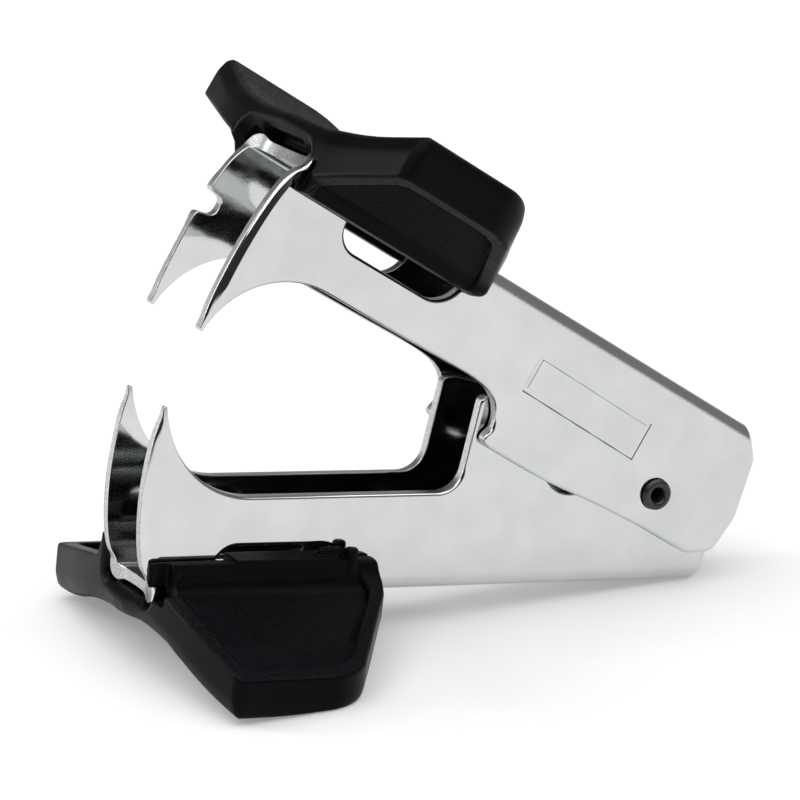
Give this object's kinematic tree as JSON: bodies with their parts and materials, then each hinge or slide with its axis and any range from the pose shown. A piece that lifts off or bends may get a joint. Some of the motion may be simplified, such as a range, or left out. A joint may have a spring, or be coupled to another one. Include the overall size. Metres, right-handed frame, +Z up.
{
  "type": "claw staple remover",
  "caption": "Claw staple remover: two nested nickel-plated steel jaws on a hollow rivet, held open by a torsion spring, with black plastic finger grips.",
  "frame": {"origin": "middle of the bounding box, on the surface the object stands on", "axes": "+Z up, -X towards the claws, +X towards the rivet, Y along the rivet; jaws open"},
  "size_m": [0.0619, 0.04, 0.0485],
  "materials": {
    "nickel_plate": "satin-bright nickel plate",
    "grip_plastic": "satin black, finely grained",
    "blackened_steel": "glossy black",
    "spring_wire": "drawn spring wire"
  },
  "bodies": {
    "lower_jaw": {"inner_jaw": "nickel_plate", "lower_grip": "grip_plastic", "pivot_rivet": "blackened_steel", "torsion_spring": "spring_wire"},
    "upper_jaw": {"outer_jaw": "nickel_plate", "upper_grip": "grip_plastic"}
  },
  "joints": [
    {"name": "jaw_hinge", "type": "hinge", "parent": "lower_jaw", "child": "upper_jaw", "pos_m": [0.02, 0, 0.00965], "axis": [0, -1, 0], "range_deg": [0, 22], "stiffness_Nm_per_rad": 0.3, "springref_deg": -40.11, "deforming": ["torsion_spring"]}
  ]
}
